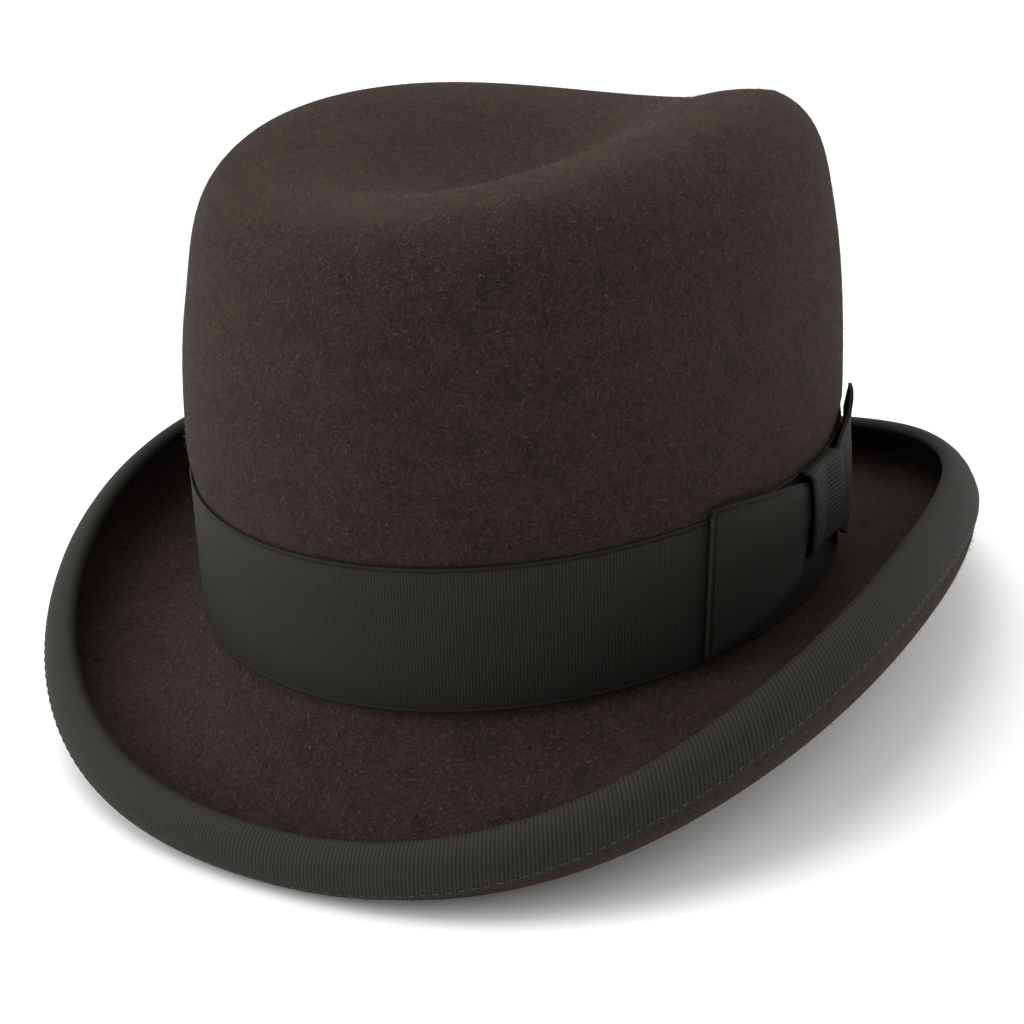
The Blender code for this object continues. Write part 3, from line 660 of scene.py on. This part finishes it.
# The dark line by the front fold is painted shade, given the valley colour of the ribs.
FOLD_BEAD, FOLD_GROOVE = 0.7, 1.8   # the front fold's bright edge, and where the dark line by it ends

fine = np.linspace(0.0, math.pi, 721)
BAND_DISTANCE = distances(plan_oval(HEAD_LENGTH + 2.0 * BAND_FACE, HEAD_WIDTH + 2.0 * BAND_FACE, fine))


def on_band(distance, height, out):
    """Points over the band: distance along it, height over its lower edge, lift off its face."""
    angle = np.interp(distance, BAND_DISTANCE, fine)
    return wall_ring(height + seat_height(angle), BAND_FACE + out, angle)


def bow_edges(u):
    """Lower and upper edge of the bow's ribbon at a distance from its middle."""
    reach = np.where(u < 0, BOW_FRONT, BOW_REAR)
    spread = np.clip((np.abs(u) - HALF_KNOT) / (reach - HALF_KNOT), 0.0, 1.0) ** 0.7
    low = (KNOT_LOW + 1.5) * (1.0 - spread) + 1.0 * spread
    top_end = np.where(u < 0, 43.0, 48.0)
    high = (KNOT_HIGH - 1.5) + (top_end - KNOT_HIGH + 1.5) * np.minimum(1.0, spread * 1.15)
    return low, high


def bow_lift(u, v):
    """Lift of the bow's inner face: on the band at its ends, proud of it towards the knot."""
    reach = np.where(u < 0, BOW_FRONT, BOW_REAR)
    near = np.clip(1.0 - np.abs(u) / reach, 0.0, 1.0)
    puff = BOW_LIFT * np.sin(math.pi * near) * (0.35 + 0.65 * np.sin(math.pi * v))
    hollow = HOLLOW * np.sin(math.pi * np.minimum(near, 0.5)) * np.clip(1.0 - v / HOLLOW_HEIGHT, 0.0, 1.0)
    hollow *= np.where(u < 0, 1.0, 0.3) * np.clip((np.abs(u) - HALF_KNOT - 1.0) / HOLLOW_FADE, 0.0, 1.0)
    return GAP + 0.6 * puff + hollow + (KNOT_ROOM - GAP) * np.minimum(1.0, near / 0.8)


def bow_path():
    """The folded ribbon's line: distance from the bow's middle, and depth through its two layers."""
    fold = (BOW_THICK - RIBBON) / 2.0
    bend = np.linspace(0.0, math.pi, 9)
    back = np.arange(0.0, BOW_FRONT - fold, BAND_RIB / 4.0)
    front_end, rear_end = -(BOW_FRONT - fold), BOW_REAR - fold
    u = [-back, front_end - fold * np.sin(bend)]
    w = [0.0 * back, fold - fold * np.cos(bend)]
    face = np.arange(front_end, rear_end, BAND_RIB / 4.0)
    u += [face[1:], rear_end + fold * np.sin(bend)]
    w += [0.0 * face[1:] + 2.0 * fold, fold + fold * np.cos(bend)]
    back = np.arange(rear_end, 0.5, -BAND_RIB / 4.0)
    u.append(back[1:])
    w.append(0.0 * back[1:])
    return np.concatenate(u), np.concatenate(w)


bow_u, bow_w = bow_path()
bow_rows = np.array([1.0, 0.985, 0.97, 0.95, 0.85, 0.7, 0.55, 0.4, 0.25, 0.12, 0.05, 0.03, 0.015, 0.0])
bow_grid = []
for v in bow_rows:
    low, high = bow_edges(bow_u)
    slant = BOW_SLANT * (0.5 - v) * np.clip((-bow_u - HALF_KNOT) / (BOW_FRONT - HALF_KNOT), 0.0, 1.0)
    pleat = PLEAT * np.sin(v * PLEATS) * np.clip(1.0 - np.abs(bow_u) / PLEAT_REACH, 0.0, 1.0)
    out = bow_lift(bow_u, v) + bow_w + RIBBON + pleat * (bow_w > 0.1)
    bow_grid.append(on_band(BOW_MIDDLE + bow_u - slant, low + (high - low) * v, out))
bow_grid = np.array(bow_grid)
# The edge rows' share of rib height also paints them darker, as painted shade.
bow_edge_fade = np.array([0.3, 0.4, 0.1, 1.0] + [1.0] * 6 + [1.0, 0.1, 0.4, 0.3])
run = distances(np.column_stack([bow_u, bow_w]))
rib_line = np.interp(run / BAND_RIB % 1.0, np.linspace(0.0, 1.0, 5), (*RIB_SHAPE, RIB_SHAPE[0]))
from_fold = np.abs(bow_u + BOW_FRONT)
# Painted shade: the strip beside the fold's bead gets no rib lift, so it takes the dark valley colour.
rib_line = np.where(from_fold < FOLD_BEAD, 1.3, np.where(from_fold < FOLD_GROOVE, 0.0, rib_line))
flat = np.stack(np.meshgrid(run, bow_rows * BAND_WIDTH), axis=-1)
bow = ribbon_object("side_bow", bow_grid, rib_line, bow_edge_fade, False, RIBBON, flat)
dress(bow, olive_grosgrain, "ribbon", "bow_ribbon")

# The knot: a short narrow piece of the ribbon wrapped once round the gathered middle and sewn
# behind, so its ribs lie level.
KNOT_OVER, KNOT_ROUND = 1.1, 1.6    # reach past the bow's edges, and radius of its turn there
WRAP_END, WRAP_SIDE = 0.15, 0.55    # how far out its end and its turn lie, as a share of its front
knot_columns = np.linspace(-HALF_KNOT, HALF_KNOT, 13)
knot_front = bow_lift(knot_columns, 0.5) + BOW_THICK + GAP + KNOT_THICK
knot_mid = (KNOT_LOW + KNOT_HIGH) / 2.0
half_tall = (KNOT_HIGH - KNOT_LOW) / 2.0 + KNOT_OVER
knot_turn = [(half_tall, WRAP_END), (half_tall, WRAP_SIDE)]
knot_turn += [(half_tall - KNOT_ROUND * (1 - math.cos(a)), WRAP_SIDE + (1.0 - WRAP_SIDE) * math.sin(a))
              for a in np.radians(np.linspace(0.0, 90.0, 7))[1:-1]]
knot_rows = [(knot_mid - away, depth) for away, depth in knot_turn]
knot_rows += [(knot_mid + spread * (half_tall - KNOT_ROUND), 1.0 + 0.5 * (1.0 - spread * spread) / 3.0)
              for spread in np.linspace(-1.0, 1.0, KNOT_RIBS * 6 + 1)]
knot_rows += [(knot_mid + away, depth) for away, depth in knot_turn[::-1]]
knot_grid = np.array([on_band(BOW_MIDDLE + knot_columns, 0.0 * knot_columns + height, knot_front * depth)
                      for height, depth in knot_rows])[::-1]
knot_run = distances(knot_grid[:, 6])
knot_pitch = (KNOT_HIGH - KNOT_LOW + 1.0) / KNOT_RIBS
rib_rows = np.abs(np.sin(math.pi * knot_run / knot_pitch)) ** 1.4
knot_fade = np.array([0.3, 0.8] + [1.0] * 9 + [0.8, 0.3])
# knot_level sets both the ribs' height and the colour: painted shade, dark between the level ribs and
# towards the knot's two sides.
knot_level = rib_rows[:, None] * knot_fade[None, :]
raised = knot_grid + grid_ways(knot_grid, False) * knot_level[:, :, None] * KNOT_RIB_HEIGHT
flat = np.stack(np.meshgrid(knot_columns, knot_run), axis=-1)[:, :, ::-1]
knot = grid_object("bow_knot_wrap", raised, False, lengths=flat)
mark_rib_shade(knot, knot_level)
dress(thickened(knot, RIBBON), olive_grosgrain, "ribbon", "bow_knot")

# ---------------------------------------------------------------------------------------------
# The lining: satin cut as a side and a tip, joined by a piped seam, and left hanging loose in
# the crown. The side is slightly gathered, so shallow folds run up it.
# ---------------------------------------------------------------------------------------------
LINING, LINING_EASE, TIP_DROP, TIP_SEAM, SEAM_ROOM, LINING_FOOT = 0.4, 0.8, 6.5, 0.62, 0.05, 14.0
PIPING_RADIUS, GATHERS, GATHER_DEPTH = 0.9, 46.0, 0.35
TUBE_SIDES = 10
LINING_DEPTH = FELT + LINING_EASE

# Acetate satin: a close weave of floats 0.4 mm long, smooth and shiny, with soft creases from
# handling about 17 mm apart.
bronze_satin, tree, shader = new_material("bronze_satin")
place = add(tree, "ShaderNodeTexCoord").outputs["Object"]
folds = add(tree, "ShaderNodeTexNoise", {"Vector": place, "Scale": 60.0, "Detail": 3.0,
                                         "Distortion": 1.0})
floats = add(tree, "ShaderNodeTexNoise", {"Vector": place, "Scale": 2500.0, "Detail": 2.0})
crease = add(tree, "ShaderNodeBump", {"Height": folds.outputs["Fac"], "Strength": 0.35,
                                      "Distance": 0.003})
two_tone(tree, shader, floats.outputs["Fac"], "3f2f27", "5a463b", floats.outputs["Fac"], 0.2, 0.0001,
         crease.outputs[0])
shader.inputs["Roughness"].default_value = 0.32
shader.inputs["Anisotropic"].default_value = 0.4

tip_edge = [shoulder_ring(t, angles) for t in np.linspace(1.0, TIP_SEAM + SEAM_ROOM, 6)]
tip_ways = grid_ways(np.array(tip_edge))
tip_depths = np.linspace(TIP_DROP, LINING_DEPTH, 6)
tip_rings = [dent_ring(q, angles) - (0.0, 0.0, TIP_DROP) for q in np.linspace(1.0, 0.0, 16)[:-1]]
tip_rings.append(tip_edge[0] - (0.0, 0.0, TIP_DROP))
tip_rings += [edge - way * depth for edge, way, depth in zip(tip_edge[1:], tip_ways[1:], tip_depths[1:])]
tip = thickened(grid_object("lining_top", np.array(tip_rings), creased=True), LINING)
dress(tip, bronze_satin, "satin", "lining_tip")

side_rings = [shoulder_ring(t, angles) for t in np.linspace(TIP_SEAM - SEAM_ROOM, 0.0, 8)[:-1]]
side_rings += [wall_ring(LINING_FOOT + (wall_top - LINING_FOOT) * t, 0.0, angles)
               for t in np.linspace(1.0, 0.0, 12)]
side_grid = np.array(side_rings)
hang = np.sin(np.linspace(0.0, math.pi, len(side_rings)))[:, None]
gather = GATHER_DEPTH * (1.0 + np.sin(angles * GATHERS + 1.3 * np.sin(angles * 5.0)))[None, :] * hang
side_grid = side_grid - grid_ways(side_grid) * (LINING_DEPTH + gather)[:, :, None]
side = thickened(grid_object("lining_side", side_grid), LINING)
dress(side, bronze_satin, "satin", "lining_wall")

around_seam = [shoulder_ring(TIP_SEAM + t, angles) for t in (SEAM_ROOM, 0.0, -SEAM_ROOM)]
seam_ways = grid_ways(np.array(around_seam))[1]
seam_middle = around_seam[1] - seam_ways * (LINING_DEPTH + PIPING_RADIUS)


def tube_object(name, middle, ways, radius, sides):
    """A closed tube round a ring of points, with a way that points across it at each."""
    along = np.roll(middle, -1, axis=0) - np.roll(middle, 1, axis=0)
    along /= np.linalg.norm(along, axis=1)[:, None]
    other = np.cross(along, ways)
    rings = [middle + radius * (ways * math.cos(a) + other * math.sin(a)) for a in turns(sides)]
    grid = np.array(rings + rings[:1])
    made = grid_object(name, grid)
    edit = bmesh.new()
    edit.from_mesh(made.data)
    bmesh.ops.remove_doubles(edit, verts=edit.verts, dist=1e-6)
    bmesh.ops.recalc_face_normals(edit, faces=edit.faces)
    edit.to_mesh(made.data)
    edit.free()
    return baked(made)


piping = tube_object("lining_seam_piping", seam_middle, seam_ways, PIPING_RADIUS, TUBE_SIDES)
dress(piping, bronze_satin, "satin", "lining_piping")

# ---------------------------------------------------------------------------------------------
# The sweatband: a strip of thin calf leather inside the head opening, turned up from a reed that
# stiffens its lower edge, and sewn to the felt through that edge.
# ---------------------------------------------------------------------------------------------
LEATHER, LEATHER_WIDTH, REED_RADIUS = 1.0, 38.0, 0.9
LEATHER_WAVE, LEATHER_SEAM_UP = 0.12, 3.5   # its slight waviness, and its stitches over the head line
LEATHER_SEAM_OFF = 0.2                      # the stitches' middle line, off the leather's face
LEATHER_STITCH_PITCH, LEATHER_STITCH_LENGTH, LEATHER_STITCH_THICK = 3.0, 2.1, 0.45
LEATHER_OUT = -(LINING_DEPTH + LINING + GAP)

# Vegetable tanned leather: tan, with a pebbled grain 0.7 mm across, stains 20 mm across and a dull
# polish.
tan_calf_leather, tree, shader = new_material("tan_calf_leather")
place = add(tree, "ShaderNodeTexCoord").outputs["Object"]
grain = add(tree, "ShaderNodeTexVoronoi", {"Vector": place, "Scale": 1500.0})
stain = add(tree, "ShaderNodeTexNoise", {"Vector": place, "Scale": 45.0, "Detail": 4.0})
two_tone(tree, shader, stain.outputs["Fac"], "5a3821", "8a5c3a", grain.outputs["Distance"], 0.3, 0.0002)
shader.inputs["Roughness"].default_value = 0.45

leather_low = seat_height(angles) + 1.0
leather_rows = np.concatenate([[1.0, 0.985], np.linspace(0.95, 0.05, 10), [0.015, 0.0]])
leather_grid = np.array([wall_ring(leather_low + LEATHER_WIDTH * t, LEATHER_OUT
                                   - LEATHER_WAVE * np.sin(9.0 * angles + 4.0 * t), angles)
                         for t in leather_rows])
leather = thickened(grid_object("leather_sweatband", leather_grid), LEATHER)
dress(leather, tan_calf_leather, "leather", "sweatband")

# Reed covering: a plain woven tape in buff, its weave about 0.5 mm.
buff_tape, tree, shader = new_material("buff_reed_tape")
place = add(tree, "ShaderNodeTexCoord").outputs["Object"]
weave = add(tree, "ShaderNodeTexNoise", {"Vector": place, "Scale": 2200.0, "Detail": 2.0})
two_tone(tree, shader, weave.outputs["Fac"], "6a5a3e", "9a8763", weave.outputs["Fac"], 0.4, 0.00015)
shader.inputs["Roughness"].default_value = 0.8
reed_line = wall_ring(leather_low - REED_RADIUS - GAP, LEATHER_OUT - REED_RADIUS, angles)
outward = np.column_stack([plan_oval(2.0, 2.0, angles), 0.0 * angles])
reed = tube_object("sweatband_reed_cord", reed_line, outward, REED_RADIUS, TUBE_SIDES)
dress(reed, buff_tape, "reed", "sweatband_reed")
seam_height = seat_height(seam_angles) + LEATHER_SEAM_UP
leather_line = wall_ring(seam_height, LEATHER_OUT - LEATHER - LEATHER_SEAM_OFF, seam_angles)
leather_stitches = stitch_row("sweatband_stitching", leather_line, LEATHER_STITCH_PITCH,
                              LEATHER_STITCH_LENGTH, LEATHER_STITCH_THICK)
dress(leather_stitches, waxed_thread, "thread", "sweatband_thread")

# ---------------------------------------------------------------------------------------------
# The studio: a white sweep under broad soft lights from both sides and above.
# ---------------------------------------------------------------------------------------------
SWEEP_SIZE, SWEEP_DROP = 80.0, 0.0002   # metres across, and how far it lies under the hat
ROOM_BRIGHTNESS = 0.75

# Matt white paper.
white_sweep, tree, shader = new_material("matt_white_paper")
shader.inputs["Base Color"].default_value = linear("f4f4f3")
shader.inputs["Roughness"].default_value = 0.9
bpy.ops.mesh.primitive_plane_add(size=SWEEP_SIZE, location=(0.0, 0.0, -SWEEP_DROP))
sweep = bpy.context.object
sweep.name = "white_sweep"
sweep.data.materials.append(white_sweep)

world = bpy.data.worlds.new("studio_white")
bpy.context.scene.world = world
world.use_nodes = True
world.node_tree.nodes["Background"].inputs["Color"].default_value = linear("ffffff")
world.node_tree.nodes["Background"].inputs["Strength"].default_value = ROOM_BRIGHTNESS


def soft_light(name, away, size, power):
    """A square soft box so far away from the hat, in metres, and turned to face it."""
    lamp = bpy.data.lights.new(name, "AREA")
    lamp.size = size
    lamp.energy = power
    made = bpy.data.objects.new(name, lamp)
    made.location = Vector(away)
    made.rotation_euler = (-Vector(away)).to_track_quat("-Z", "Y").to_euler()
    bpy.context.scene.collection.objects.link(made)


# ---- the camera, set in the hat's own frame and carried with it to where the hat stands ----
AZIMUTH, ELEVATION, ROLL = math.radians(31.0), math.radians(23.0), math.radians(2.1)
DISTANCE, FOCAL, SHIFT_X, SHIFT_Y, TARGET_Z = 600.0, 70.75, -0.0134, 0.0212, 5.0
back = Vector((math.sin(AZIMUTH) * math.cos(ELEVATION), -math.cos(AZIMUTH) * math.cos(ELEVATION),
               math.sin(ELEVATION)))
right = Vector((math.cos(AZIMUTH), math.sin(AZIMUTH), 0.0))
up = back.cross(right)
turned_right = right * math.cos(ROLL) - up * math.sin(ROLL)
turned_up = up * math.cos(ROLL) + right * math.sin(ROLL)
spot = (Vector((0.0, 0.0, TARGET_Z)) + back * DISTANCE) * MM
axes = Matrix((turned_right, turned_up, back)).transposed().to_4x4()
lens = bpy.data.cameras.new("camera")
lens.lens = FOCAL
lens.sensor_width = 36.0
lens.shift_x, lens.shift_y = SHIFT_X, SHIFT_Y
lens.clip_start = 0.01
camera = bpy.data.objects.new("camera", lens)
camera.matrix_world = STAND @ (Matrix.Translation(spot) @ axes)
bpy.context.scene.collection.objects.link(camera)
bpy.context.scene.camera = camera

front_way = Vector((math.sin(AZIMUTH), -math.cos(AZIMUTH), 0.0))
soft_light("left_box", -right * 1.3 + front_way * 0.1 + Vector((0, 0, 0.7)), 1.2, 14.0)
soft_light("right_box", right * 1.3 - front_way * 0.3 + Vector((0, 0, 0.9)), 1.0, 7.0)
soft_light("top_box", -front_way * 0.2 - right * 0.3 + Vector((0, 0, 1.6)), 1.2, 16.0)
bpy.context.scene.view_settings.view_transform = "Standard"
